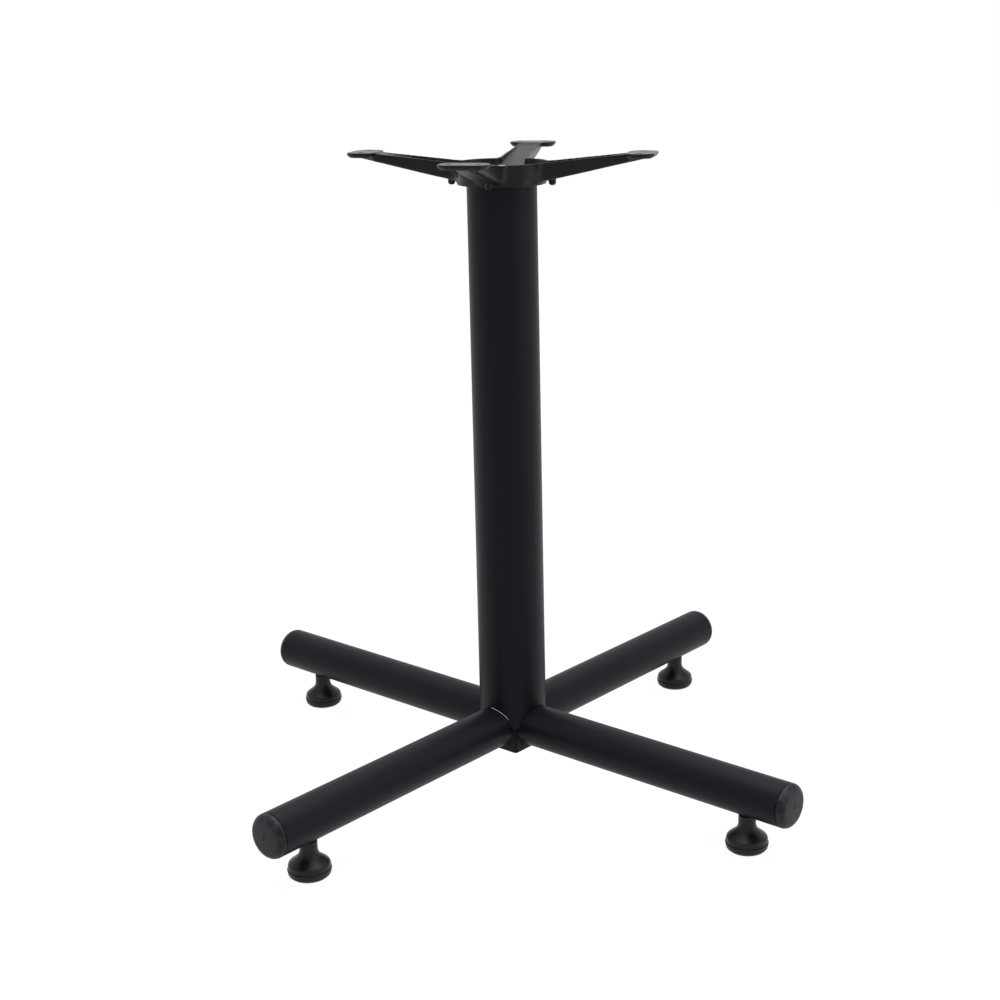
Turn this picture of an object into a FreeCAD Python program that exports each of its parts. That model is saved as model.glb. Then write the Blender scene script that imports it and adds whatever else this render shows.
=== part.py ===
import FreeCAD, Part
import math
import os
import Sketcher
from FreeCAD import Vector

# Four star table base: a round column coped over four tubular legs, with a cast
# four-armed spider on top. Millimetres. +Z is up, the floor is at zero under the
# middle of the column, and the spider's arms lie along X and Y.

DIMENSIONS = (
    ("overall_height", 715.0, "floor to the top of the spider's pads"),
    ("column_diameter", 76.2, "outside of the column tube"),
    ("column_wall", 1.6, "wall of the column tube"),
    ("tongue_drop", 22.0, "column's tongues below the top of the legs"),
    ("cope_gap", 0.3, "between the column's saddles and the legs"),
    ("leg_diameter", 47.6, "outside of a leg tube"),
    ("leg_wall", 1.6, "wall of a leg tube"),
    ("leg_reach", 371.0, "column axis to the open end of a leg"),
    ("leg_turn_angle", 27.1, "degrees from the spider's arms to the legs"),
    ("hub_clearance", 2.5, "hub post's round corners to the column's bore"),
    ("hub_wall", 2.5, "wall of the hub post"),
    ("hub_bend", 0.8, "inside bend radius of the hub post"),
    ("hub_drop", 5.4, "hub post below the legs"),
    ("hub_rise", 6.0, "hub post above the legs"),
    ("plate_thickness", 6.0, "centring plate on the hub post"),
    ("plate_gap", 0.3, "centring plate to the column's bore"),
    ("rod_diameter", 10.0, "tie rod through the column"),
    ("rod_gap", 0.5, "tie rod to the holes it passes through"),
    ("rod_tail", 1.5, "tie rod past each nut"),
    ("rod_chamfer", 1.0, "lead on each end of a rod or stud"),
    ("thread_gap", 0.05, "a nut or bush to the thread in it"),
    ("nut_width", 17.0, "across the flats of a nut"),
    ("nut_height", 8.0, "thickness of a nut"),
    ("washer_diameter", 26.0, "outside of a washer"),
    ("washer_thickness", 2.0, "thickness of a washer"),
    ("foot_height", 39.4, "floor to the underside of the legs"),
    ("foot_inset", 48.0, "middle of a foot to the open end of its leg"),
    ("foot_seat_gap", 0.3, "top of a foot to the leg above it"),
    ("stem_diameter", 18.8, "foot's neck"),
    ("neck_radius", 12.0, "hollow curve from neck to bell"),
    ("bell_top_angle", 38.0, "degrees of fall of the bell's conical top"),
    ("bell_wall_height", 14.2, "floor to where the bell's top and wall would meet unrounded"),
    ("bell_diameter", 43.9, "bell at its shoulder"),
    ("bell_shoulder", 5.0, "round shoulder of the bell"),
    ("bell_flare", 0.3, "bell's wall further out at its lower edge"),
    ("pad_ring_diameter", 46.0, "foot's base pad at its widest"),
    ("pad_floor_diameter", 38.8, "foot's base pad on the floor"),
    ("pad_ring_height", 8.8, "thickness of the foot's base pad"),
    ("pad_ring_lip", 1.2, "upright edge of the base pad"),
    ("pad_ring_toe", 2.6, "round edge of the base pad at the floor"),
    ("pad_ring_lean", 10.0, "degrees that the base pad's side leans out"),
    ("stud_diameter", 10.0, "levelling stud"),
    ("stud_rise", 26.0, "levelling stud above the foot"),
    ("stud_depth", 17.0, "levelling stud moulded into the foot"),
    ("bush_diameter", 16.0, "threaded bush in the leg"),
    ("bush_height", 14.0, "length of the threaded bush"),
    ("bush_gap", 0.1, "bush to its hole in the leg"),
    ("stud_gap", 0.09, "levelling stud to the bush it runs in"),
    ("cap_head", 9.0, "end cap beyond the leg"),
    ("cap_edge", 8.0, "round edge of the end cap"),
    ("cap_crown", 260.0, "radius of the end cap's face"),
    ("spigot_depth", 22.0, "end cap's spigot inside the leg"),
    ("spigot_wall", 2.2, "wall of the spigot"),
    ("spigot_gap", 1.4, "spigot to the leg's bore between its ribs"),
    ("rib_gap", 0.1, "spigot's ribs to the leg's bore"),
    ("rib_pitch", 6.0, "from one spigot rib to the next"),
    ("rib_thickness", 1.5, "a spigot rib along the leg"),
    ("spider_height", 34.4, "whole height of the casting"),
    ("hub_diameter", 104.8, "casting's hub between the arms, at the level of the pads"),
    ("hub_valley", 10.0, "hollow curve from the hub to an arm's side"),
    ("casting_draft", 8.0, "degrees that the casting's walls lean in toward its foot"),
    ("flange_diameter", 97.0, "round flange under the hub"),
    ("flange_rise", 3.4, "thickness of the flange below the arm roots"),
    ("flange_edge", 1.6, "round lower edge of the flange"),
    ("seat_depth", 2.5, "column's seat in the flange"),
    ("seat_gap", 0.3, "column's seat around the column"),
    ("arm_width", 26.0, "across an arm at its pad"),
    ("arm_flare", 2.25, "degrees that each side of an arm spreads toward the hub"),
    ("arm_tip_depth", 7.6, "depth of an arm at the middle of its pad"),
    ("keel_root", 21.6, "across an arm's underside at the hub, between its bevels"),
    ("keel_tip", 13.6, "across an arm's underside at its pad, between its bevels"),
    ("keel_bevel", 40.0, "degrees of those bevels from the underside"),
    ("rib_width", 2.0, "rim along each side of an arm and around the hub"),
    ("rim_drop", 10.2, "hub's rim below the pads"),
    ("pad_stand", 1.4, "pads above the rims that meet them"),
    ("dish_depth", 26.0, "hub's floor below the pads"),
    ("dish_diameter", 38.0, "level floor of the hub"),
    ("channel_end_gap", 2.25, "end of an arm's channel to its pad"),
    ("channel_depth", 2.2, "depth of the channel at that end, below the pads"),
    ("pad_station", 153.0, "column axis to the middle of a pad"),
    ("pad_breadth", 31.5, "pad along the arm"),
    ("pad_length", 52.5, "pad across the arm"),
    ("pad_corner", 12.5, "round corners of a pad"),
    ("pad_thickness", 5.6, "thickness of a pad"),
    ("pad_bevel", 3.2, "bevel under a pad's edge"),
    ("screw_spacing", 31.0, "between a pad's two screw holes"),
    ("screw_hole", 6.5, "screw hole"),
    ("screw_sink", 12.5, "countersink under a screw hole"),
    ("screw_relief", 4.0, "round relief in an arm's side below a countersink"),
    ("peg_station", 56.0, "column axis to a cast peg"),
    ("peg_diameter", 8.0, "cast peg"),
    ("peg_dome", 2.0, "dome on a peg's end"),
    ("peg_length", 9.5, "cast peg from its end into the arm"),
    ("peg_drop", 1.2, "cast pegs below the flange"),
)
CORNERS = 4
RIBS = 3
COPY_ANGLE = 360 // CORNERS

doc = FreeCAD.newDocument("table_base")
sheet = doc.addObject("Spreadsheet::Sheet", "size")
for row, (name, number, meaning) in enumerate(DIMENSIONS, 1):
    sheet.set(f"A{row}", name)
    sheet.set(f"B{row}", str(number))
    sheet.set(f"C{row}", meaning)
    sheet.setAlias(f"B{row}", name)
doc.recompute()

# Places that follow from the driving dimensions
LEG_AXIS = "(size.foot_height + size.leg_diameter / 2)"
LEG_TOP = "(size.foot_height + size.leg_diameter)"
LEG_BORE = "(size.leg_diameter / 2 - size.leg_wall)"
COLUMN_BORE = "(size.column_diameter / 2 - size.column_wall)"
HUB_BEND = "(size.hub_bend + size.hub_wall)"
HUB_HALF = f"(({COLUMN_BORE} - size.hub_clearance + {HUB_BEND} * (sqrt(2) - 1)) / sqrt(2))"
FOOT_STATION = "(size.leg_reach - size.foot_inset)"
COLUMN_FOOT = f"({LEG_TOP} - size.tongue_drop)"
PLATE_FOOT = f"({LEG_TOP} + size.hub_rise)"
FLANGE_FOOT = "(size.overall_height - size.spider_height)"
COLUMN_TOP = f"({FLANGE_FOOT} + size.seat_depth)"
ARM_ROOT = f"({FLANGE_FOOT} + size.flange_rise)"
DISH_FLOOR = "(size.overall_height - size.dish_depth)"
PAD_FOOT = "(size.overall_height - size.pad_thickness)"
PAD_INSIDE = "(size.pad_station - size.pad_breadth / 2)"
FOOT_TOP = "(size.foot_height - size.foot_seat_gap)"
BUSH_HOLE = "(size.bush_diameter / 2 + size.bush_gap)"
ROD_HOLE = "(size.rod_diameter / 2 + size.rod_gap)"
NUT_BORE = "(size.rod_diameter / 2 + size.thread_gap)"

pieces = []


def evaluated(expression):
    """The number that an expression on the sheet gives now."""
    return float(sheet.evalExpression(expression))


def leg_angle(corner):
    """Direction of one leg, in degrees."""
    return f"({COPY_ANGLE * corner} - size.leg_turn_angle)"


def turned_to(angle, height="0", reach="0"):
    """A placement at a reach and height, turned about the column's axis."""
    spot = f"vector({reach} * cos({angle}); {reach} * sin({angle}); {height})"
    return f"placement({spot}; rotation(vector(0; 0; 1); {angle}))"


def new_body(label, place=None):
    """A body for one piece, placed by an expression."""
    body = doc.addObject("PartDesign::Body", label)
    body.Label = label
    if place:
        body.setExpression("Placement", place)
    return body


def origin_feature(body, role):
    """One of a body's own origin planes or axes."""
    return next(item for item in body.Origin.OriginFeatures if item.Role == role)


def new_sketch(body, name, role, shift=None):
    """A sketch on an origin plane of its body, shifted by expressions."""
    sketch = body.newObject("Sketcher::SketchObject", name)
    sketch.AttachmentSupport = [(origin_feature(body, role), "")]
    sketch.MapMode = "FlatFace"
    for axis, expression in (shift or {}).items():
        sketch.setExpression(f"AttachmentOffset.Base.{axis}", expression)
    return sketch


def bind(sketch, constraint, expression):
    """Add a constraint whose value follows an expression."""
    index = sketch.addConstraint(constraint)
    sketch.setExpression(f"Constraints[{index}]", expression)


def place_point(sketch, edge, end, x, y):
    """Hold one end of an edge at a place."""
    bind(sketch, Sketcher.Constraint("DistanceX", -1, 1, edge, end, evaluated(x)), x)
    bind(sketch, Sketcher.Constraint("DistanceY", -1, 1, edge, end, evaluated(y)), y)


def add_circle(sketch, radius, x="0", y="0"):
    """A circle of a bound radius at a bound place."""
    centre = Vector(evaluated(x), evaluated(y), 0)
    edge = sketch.addGeometry(Part.Circle(centre, Vector(0, 0, 1), evaluated(radius)))
    bind(sketch, Sketcher.Constraint("Radius", edge, evaluated(radius)), radius)
    place_point(sketch, edge, 3, x, y)


def arc_between(start, end, radius, bend):
    """The shorter arc from start to end; bend 1 turns left, -1 turns right."""
    chord = end - start
    half = chord.Length / 2
    side = Vector(-chord.y, chord.x, 0).normalize() * bend
    centre = (start + end) / 2 + side * math.sqrt(max(radius ** 2 - half ** 2, 0))
    first, last = (start, end) if bend > 0 else (end, start)
    low = math.atan2(first.y - centre.y, first.x - centre.x)
    high = math.atan2(last.y - centre.y, last.x - centre.x)
    return Part.ArcOfCircle(Part.Circle(centre, Vector(0, 0, 1), radius), low, high)


def add_outline(sketch, corners):
    """A closed outline. Each corner is (x, y) where a straight edge leaves it, or
    (x, y, radius, bend) where an arc does."""
    points = [Vector(evaluated(c[0]), evaluated(c[1]), 0) for c in corners]
    edges = []
    for i, corner in enumerate(corners):
        start, end = points[i], points[(i + 1) % len(points)]
        if len(corner) == 2:
            edges.append((sketch.addGeometry(Part.LineSegment(start, end)), 1, 2))
            continue
        radius, bend = corner[2], corner[3]
        arc = sketch.addGeometry(arc_between(start, end, evaluated(radius), bend))
        bind(sketch, Sketcher.Constraint("Radius", arc, evaluated(radius)), radius)
        edges.append((arc, 1, 2) if bend > 0 else (arc, 2, 1))
    for i, (edge, head, tail) in enumerate(edges):
        next_edge, next_head, _ = edges[(i + 1) % len(edges)]
        sketch.addConstraint(Sketcher.Constraint("Coincident", edge, tail, next_edge, next_head))
        place_point(sketch, edge, head, corners[i][0], corners[i][1])


def add_rounded_rectangle(sketch, half_x, half_y, radius, middle="0"):
    """A rectangle with round corners, its middle out along the sketch's X."""
    left, right = f"({middle} - {half_x})", f"({middle} + {half_x})"
    add_outline(sketch, [
        (f"{left} + {radius}", f"-{half_y}"),
        (f"{right} - {radius}", f"-{half_y}", radius, 1),
        (right, f"{radius} - {half_y}"),
        (right, f"{half_y} - {radius}", radius, 1),
        (f"{right} - {radius}", half_y),
        (f"{left} + {radius}", half_y, radius, 1),
        (left, f"{half_y} - {radius}"),
        (left, f"{radius} - {half_y}", radius, 1),
    ])


def extrude(body, kind, name, sketch, length, reverse=False, both_ways=False):
    """A pad or pocket of a bound length."""
    feature = body.newObject(f"PartDesign::{kind}", name)
    feature.Profile = sketch
    feature.Reversed = reverse
    feature.SideType = "Symmetric" if both_ways else "One side"
    feature.setExpression("Length", length)
    sketch.Visibility = False
    return feature


def revolve(body, kind, name, sketch, axis):
    """A full turn of a profile about an axis."""
    feature = body.newObject(f"PartDesign::{kind}", name)
    feature.Profile = sketch
    feature.ReferenceAxis = axis
    feature.Angle = 360
    sketch.Visibility = False
    return feature


def repeat_around(body, name, features):
    """Copies of features at each corner about the body's upright axis."""
    pattern = body.newObject("PartDesign::PolarPattern", name)
    pattern.Originals = features
    pattern.Axis = (origin_feature(body, "Z_Axis"), [""])
    pattern.Angle = 360
    pattern.Occurrences = CORNERS
    body.Tip = pattern
    return pattern


def turned_piece(label, corners, place=None, axis="Z_Axis"):
    """A piece turned on a lathe, from its half section in the XZ plane."""
    body = new_body(label, place)
    section = new_sketch(body, f"{label}_section", "XZ_Plane")
    add_outline(section, corners)
    revolve(body, "Revolution", f"{label}_turned", section, (origin_feature(body, axis), [""]))
    pieces.append(body)
    return body


def rod_section(radius, low, high):
    """Half section of a rod with a lead on both ends."""
    return [
        ("0", low),
        (f"{radius} - size.rod_chamfer", low),
        (radius, f"{low} + size.rod_chamfer"),
        (radius, f"{high} - size.rod_chamfer"),
        (f"{radius} - size.rod_chamfer", high),
        ("0", high),
    ]


def ring_section(inner, outer, low, high):
    """Half section of a plain ring."""
    return [(inner, low), (outer, low), (outer, high), (inner, high)]


def make_column():
    """Round tube, saddled over the two crossing pairs of legs."""
    body = new_body("column_tube", turned_to("(-size.leg_turn_angle)"))
    wall = new_sketch(body, "column_wall_ring", "XY_Plane", {"z": COLUMN_FOOT})
    add_circle(wall, "size.column_diameter / 2")
    add_circle(wall, COLUMN_BORE)
    extrude(body, "Pad", "column_run", wall, f"{COLUMN_TOP} - {COLUMN_FOOT}")
    for role in ("XZ_Plane", "YZ_Plane"):
        saddle = new_sketch(body, f"saddle_{role}", role)
        add_circle(saddle, "size.leg_diameter / 2 + size.cope_gap", "0", LEG_AXIS)
        extrude(body, "Pocket", f"cope_{role}", saddle, "2 * size.column_diameter", both_ways=True)
    pieces.append(body)


def make_hub():
    """Square post that the legs are welded to, with the column's centring plate on it."""
    post = new_body("hub_post", turned_to("(-size.leg_turn_angle)"))
    ring = new_sketch(post, "post_ring", "XY_Plane", {"z": "size.foot_height - size.hub_drop"})
    inside = f"({HUB_HALF} - size.hub_wall)"
    add_rounded_rectangle(ring, HUB_HALF, HUB_HALF, HUB_BEND)
    add_rounded_rectangle(ring, inside, inside, "size.hub_bend")
    run = f"{PLATE_FOOT} - size.foot_height + size.hub_drop"
    extrude(post, "Pad", "post_run", ring, run)
    pieces.append(post)
    rim = f"({COLUMN_BORE} - size.plate_gap)"
    top = f"({PLATE_FOOT} + size.plate_thickness)"
    turned_piece("hub_plate", ring_section(ROD_HOLE, rim, PLATE_FOOT, top))


def make_leg(corner):
    """Level round tube from the hub post, with a hole under it for the foot's bush."""
    body = new_body(f"leg_tube_{corner + 1}", turned_to(leg_angle(corner), LEG_AXIS))
    ring = new_sketch(body, "leg_ring", "YZ_Plane", {"z": HUB_HALF})
    add_circle(ring, "size.leg_diameter / 2")
    add_circle(ring, LEG_BORE)
    extrude(body, "Pad", "leg_run", ring, f"size.leg_reach - {HUB_HALF}")
    hole = new_sketch(body, "bush_hole", "XY_Plane")
    add_circle(hole, BUSH_HOLE, FOOT_STATION)
    extrude(body, "Pocket", "bush_cut", hole, "size.leg_diameter")
    pieces.append(body)


def make_end_cap(corner):
    """Moulded plug: a round-edged head against the leg's end and a ribbed hollow spigot."""
    rim = "(size.leg_diameter / 2)"
    face = "(size.leg_reach + size.cap_head)"
    crown = f"(size.cap_crown - sqrt(size.cap_crown ^ 2 - ({rim} - size.cap_edge) ^ 2))"
    spigot = f"({LEG_BORE} - size.spigot_gap)"
    rib = f"({LEG_BORE} - size.rib_gap)"
    hollow = f"({spigot} - size.spigot_wall)"
    end = "(size.leg_reach - size.spigot_depth)"
    floor = "(size.leg_reach + size.spigot_wall)"
    corners = [
        (floor, "0"),
        (f"{face} + {crown}", "0", "size.cap_crown", 1),
        (face, f"{rim} - size.cap_edge", "size.cap_edge", 1),
        (f"{face} - size.cap_edge", rim),
        ("size.leg_reach", rim),
        ("size.leg_reach", spigot),
    ]
    for turn in range(1, RIBS + 1):
        back = f"(size.leg_reach - {turn} * size.rib_pitch)"
        front = f"({back} + size.rib_thickness)"
        corners += [(front, spigot), (front, rib), (back, rib), (back, spigot)]
    corners += [(end, spigot), (end, hollow), (floor, hollow)]
    turned_piece(f"end_cap_{corner + 1}", corners, turned_to(leg_angle(corner), LEG_AXIS), "X_Axis")


def make_foot(corner):
    """Levelling foot: bush in the leg, steel stud, moulded bell and its base pad."""
    number = corner + 1
    place = turned_to(leg_angle(corner), "0", FOOT_STATION)
    stud = "(size.stud_diameter / 2)"
    socket = f"({stud} + size.thread_gap)"
    bush_top = "(size.foot_height + size.bush_height)"
    bush = ring_section(f"{stud} + size.stud_gap", "size.bush_diameter / 2", "size.foot_height", bush_top)
    turned_piece(f"foot_insert_{number}", bush, place)
    stud_foot = f"({FOOT_TOP} - size.stud_depth)"
    stud_top = f"({FOOT_TOP} + size.stud_rise)"
    turned_piece(f"foot_stud_{number}", rod_section(stud, stud_foot, stud_top), place)
    neck = "(size.stem_diameter / 2)"
    bell = "(size.bell_diameter / 2)"
    fall = "size.bell_top_angle"
    brow = f"(size.bell_shoulder * tan(45 - {fall} / 2))"
    hollow = f"(size.neck_radius * tan(45 - {fall} / 2))"
    throat = f"(size.bell_wall_height + ({bell} - {neck}) * tan({fall}))"
    socket_foot = f"({stud_foot} - size.thread_gap)"
    turned_piece(f"foot_body_{number}", [
        ("0", "size.pad_ring_height"),
        (f"{bell} + size.bell_flare", "size.pad_ring_height"),
        (bell, f"size.bell_wall_height - {brow}", "size.bell_shoulder", 1),
        (f"{bell} - {brow} * cos({fall})", f"size.bell_wall_height + {brow} * sin({fall})"),
        (f"{neck} + {hollow} * cos({fall})", f"{throat} - {hollow} * sin({fall})", "size.neck_radius", -1),
        (neck, f"{throat} + {hollow}"),
        (neck, FOOT_TOP),
        (socket, FOOT_TOP),
        (socket, socket_foot),
        ("0", socket_foot),
    ], place)
    widest, floor = "(size.pad_ring_diameter / 2)", "(size.pad_floor_diameter / 2)"
    toe, lean = "size.pad_ring_toe", "size.pad_ring_lean"
    turned_piece(f"foot_pad_{number}", [
        ("0", "0"),
        (floor, "0", toe, 1),
        (f"{floor} + {toe} * cos({lean})", f"{toe} * (1 - sin({lean}))"),
        (widest, "size.pad_ring_height - size.pad_ring_lip"),
        (widest, "size.pad_ring_height"),
        ("0", "size.pad_ring_height"),
    ], place)


def make_fastener(end, seat, side):
    """Washer and nut against a seat, on the side the rod passes to."""
    washer_far = f"({seat} + {side} * size.washer_thickness)"
    nut_far = f"({washer_far} + {side} * size.nut_height)"
    low, high = (seat, washer_far) if side > 0 else (washer_far, seat)
    washer = ring_section(NUT_BORE, "size.washer_diameter / 2", low, high)
    turned_piece(f"{end}_washer", washer)
    low = washer_far if side > 0 else nut_far
    hexagon = doc.addObject("Part::Prism", f"{end}_nut_hexagon")
    hexagon.Polygon = 6
    hexagon.setExpression("Circumradius", "size.nut_width / sqrt(3)")
    bore = doc.addObject("Part::Cylinder", f"{end}_nut_bore")
    bore.setExpression("Radius", NUT_BORE)
    for blank in (hexagon, bore):
        blank.setExpression("Height", "size.nut_height")
        blank.setExpression("Placement.Base.z", low)
    nut = doc.addObject("Part::Cut", f"{end}_nut")
    nut.Base = hexagon
    nut.Tool = bore
    nut.Label = f"{end}_nut"
    pieces.append(nut)
    return f"({nut_far} + {side} * size.rod_tail)"


def make_tie():
    """Threaded rod that draws the spider and the column down on the hub plate."""
    top = make_fastener("top", DISH_FLOOR, 1)
    foot = make_fastener("bottom", PLATE_FOOT, -1)
    turned_piece("tie_rod", rod_section("(size.rod_diameter / 2)", foot, top))


def star_outline(side, hub, valley, reach):
    """Corners of a star of four arms around a round hub. Each arm narrows from the hub
    to a square end; side is how far the lines of the arms' sides pass the middle."""
    flare = "size.arm_flare"
    end = f"(({side} - {reach} * sin({flare})) / cos({flare}))"
    out = f"({side} + {valley})"
    along = f"sqrt(({hub} + {valley}) ^ 2 - {out} ^ 2)"
    root_x = f"({side} * sin({flare}) + {along} * cos({flare}))"
    root_y = f"({side} * cos({flare}) - {along} * sin({flare}))"
    share = f"({hub} / ({hub} + {valley}))"
    rim_x = f"({share} * ({out} * sin({flare}) + {along} * cos({flare})))"
    rim_y = f"({share} * ({out} * cos({flare}) - {along} * sin({flare})))"
    quarter = [
        (rim_x, f"(-{rim_y})", valley, -1),
        (root_x, f"(-{root_y})"),
        (reach, f"(-{end})"),
        (reach, end),
        (root_x, root_y, valley, -1),
        (rim_x, rim_y, hub, 1),
    ]
    corners = []
    for _ in range(CORNERS):
        corners += quarter
        quarter = [(f"(-{c[1]})", c[0], *c[2:]) for c in quarter]
    return corners


def bevel_section(body, name, station, hand, half, side, low):
    """Section across an arm of what is cut away along one lower edge: half is where the
    bevel meets the underside, at height low, and side is how far across it reaches."""
    sketch = new_sketch(body, name, "YZ_Plane", {"z": station})
    steep = "tan(size.keel_bevel)"
    past = f"({low} - size.rib_width * {steep})"
    corners = [
        (f"{hand} * ({half} - size.rib_width)", past),
        (f"{hand} * {side}", past),
        (f"{hand} * {side}", f"{low} + ({side} - {half}) * {steep}"),
    ]
    add_outline(sketch, corners[::hand])
    sketch.Visibility = False
    return sketch


def make_spider():
    """Cast spider: a dished hub whose leaning-sided arms rise, as shallow channels, to
    four screw pads. Its blank is a star, cut to its rims above and its underside."""
    body = new_body("spider_blank")
    upright = (origin_feature(body, "Z_Axis"), [""])
    side = "(size.pad_station * sin(size.arm_flare) + size.arm_width / 2 * cos(size.arm_flare))"
    hub = "(size.hub_diameter / 2)"
    flange = "(size.flange_diameter / 2)"
    arm_end = "(size.pad_station + size.pad_breadth / 4)"
    outside = "(size.pad_station + size.pad_breadth)"
    star = new_sketch(body, "star", "XY_Plane", {"z": "size.overall_height"})
    add_outline(star, star_outline(side, hub, "size.hub_valley", arm_end))
    block = extrude(body, "Pad", "star_height", star, f"size.overall_height - {ARM_ROOT}", reverse=True)
    block.setExpression("TaperAngle", "-size.casting_draft")

    rim = new_sketch(body, "rim_line", "XZ_Plane")
    rim_low = "(size.overall_height - size.rim_drop)"
    rim_high = "(size.overall_height - size.pad_stand)"
    add_outline(rim, [
        ("0", rim_low),
        (hub, rim_low),
        (PAD_INSIDE, rim_high),
        (outside, rim_high),
        (outside, "size.overall_height"),
        ("0", "size.overall_height"),
    ])
    revolve(body, "Groove", "rim_slope", rim, upright)

    belly = new_sketch(body, "underside", "XZ_Plane")
    tip_low = "(size.overall_height - size.arm_tip_depth)"
    fall = f"(({tip_low} - {ARM_ROOT}) / (size.pad_station - {flange}))"
    add_outline(belly, [
        (flange, ARM_ROOT),
        (outside, f"{tip_low} + size.pad_breadth * {fall}"),
        (outside, ARM_ROOT),
    ])
    revolve(body, "Groove", "underside_slope", belly, upright)
    thinning = f"((size.keel_root - size.keel_tip) / (size.pad_station - {flange}))"
    bevels = []
    past_pad = f"({arm_end} - size.pad_station)"
    for hand, name in ((-1, "right_bevel"), (1, "left_bevel")):
        half = "(size.keel_root / 2)"
        side_here = f"({half} + size.arm_width / 2)"
        root = bevel_section(body, f"{name}_root", flange, hand, half, side_here, ARM_ROOT)
        half = f"((size.keel_tip - {past_pad} * {thinning}) / 2)"
        low = f"({tip_low} + {past_pad} * {fall})"
        end = bevel_section(body, f"{name}_end", arm_end, hand, half, "(size.arm_width / 2)", low)
        bevel = body.newObject("PartDesign::SubtractiveLoft", name)
        bevel.Profile = root
        bevel.Sections = [end]
        bevel.Ruled = True
        bevels.append(bevel)
    repeat_around(body, "lower_bevels", bevels)

    ring = new_sketch(body, "flange_section", "XZ_Plane")
    add_outline(ring, [
        ("0", FLANGE_FOOT),
        (f"{flange} - size.flange_edge", FLANGE_FOOT, "size.flange_edge", 1),
        (flange, f"{FLANGE_FOOT} + size.flange_edge"),
        (flange, ARM_ROOT),
        ("0", ARM_ROOT),
    ])
    revolve(body, "Revolution", "flange", ring, upright)
    seat = new_sketch(body, "column_seat", "XY_Plane", {"z": FLANGE_FOOT})
    add_circle(seat, "size.column_diameter / 2 + size.seat_gap")
    extrude(body, "Pocket", "column_seat_cut", seat, "size.seat_depth", reverse=True)
    rod_hole = new_sketch(body, "rod_hole", "XY_Plane", {"z": FLANGE_FOOT})
    add_circle(rod_hole, ROD_HOLE)
    extrude(body, "Pocket", "rod_hole_cut", rod_hole, "size.spider_height", reverse=True)

    half_breadth, half_length = "(size.pad_breadth / 2)", "(size.pad_length / 2)"
    bevel_top = f"({PAD_FOOT} + size.pad_bevel)"
    pad = new_sketch(body, "pad_plan", "XY_Plane", {"z": bevel_top})
    add_rounded_rectangle(pad, half_breadth, half_length, "size.pad_corner", "size.pad_station")
    upper = extrude(body, "Pad", "pad_upper", pad, "size.pad_thickness - size.pad_bevel")
    lower = extrude(body, "Pad", "pad_lower", pad, "size.pad_bevel", reverse=True)
    lower.TaperAngle = -45
    repeat_around(body, "pads", [upper, lower])

    peg = new_sketch(body, "peg_section", "XZ_Plane", {"x": "size.peg_station"})
    peg_radius = "(size.peg_diameter / 2)"
    peg_low = f"({FLANGE_FOOT} - size.peg_drop)"
    peg_high = f"({peg_low} + size.peg_length)"
    dome = f"(({peg_radius} ^ 2 + size.peg_dome ^ 2) / (2 * size.peg_dome))"
    add_outline(peg, [
        ("0", peg_low, dome, 1),
        (peg_radius, f"{peg_low} + size.peg_dome"),
        (peg_radius, peg_high),
        ("0", peg_high),
    ])
    cast_peg = revolve(body, "Revolution", "peg", peg, (peg, ["V_Axis"]))
    repeat_around(body, "pegs", [cast_peg])

    screws = new_sketch(body, "screw_places", "XY_Plane", {"z": PAD_FOOT})
    sinks = new_sketch(body, "sink_places", "XY_Plane", {"z": PAD_FOOT})
    reliefs = new_sketch(body, "relief_places", "XY_Plane", {"z": PAD_FOOT})
    for hand in (-1, 1):
        across = f"{hand} * size.screw_spacing / 2"
        add_circle(screws, "size.screw_hole / 2", "size.pad_station", across)
        for wide in (sinks, reliefs):
            add_circle(wide, "size.screw_sink / 2", "size.pad_station", across)
    holes = extrude(body, "Pocket", "screw_holes", screws, "size.pad_thickness", reverse=True)
    cones = extrude(
        body, "Pocket", "screw_sinks", sinks, "(size.screw_sink - size.screw_hole) / 2", reverse=True
    )
    cones.TaperAngle = -45
    clear = extrude(body, "Pocket", "screw_reliefs", reliefs, "size.screw_relief")
    repeat_around(body, "all_screw_holes", [holes, cones, clear])

    core = new_body("spider_core")
    reach = f"({PAD_INSIDE} - size.channel_end_gap)"
    opening = new_sketch(core, "channel_star", "XY_Plane", {"z": "size.overall_height"})
    inner_side = f"({side} - size.rib_width)"
    inner_hub = f"({hub} - size.rib_width)"
    inner_valley = "(size.hub_valley + size.rib_width)"
    add_outline(opening, star_outline(inner_side, inner_hub, inner_valley, reach))
    print_run = extrude(core, "Pad", "core_height", opening, "size.dish_depth", reverse=True)
    print_run.setExpression("TaperAngle", "-size.casting_draft")
    floor = new_sketch(core, "floor_line", "XZ_Plane")
    channel_floor = "(size.overall_height - size.channel_depth)"
    add_outline(floor, [
        ("size.dish_diameter / 2", DISH_FLOOR),
        (outside, DISH_FLOOR),
        (outside, channel_floor),
        (reach, channel_floor),
    ])
    revolve(core, "Groove", "floor_slope", floor, (origin_feature(core, "Z_Axis"), [""]))

    spider = doc.addObject("Part::Cut", "spider")
    spider.Base = body
    spider.Tool = core
    spider.Label = "spider"
    pieces.append(spider)


def check_and_write():
    """Refuse a failed feature or an invalid piece, then write one file per piece."""
    doc.recompute()
    for item in doc.Objects:
        if "Invalid" in item.State or "Error" in item.State:
            raise RuntimeError(f"{item.Label} did not build")
    os.makedirs("parts", exist_ok=True)
    for piece in pieces:
        if piece.Shape.isNull() or not piece.Shape.isValid():
            raise RuntimeError(f"{piece.Label} has no valid shape")
    for piece in pieces:
        piece.Shape.exportStep(f"parts/{piece.Label}.step")
        print(f"{piece.Label}: {len(piece.Shape.Solids)} solid, {piece.Shape.Volume:.0f} mm3")


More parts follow.
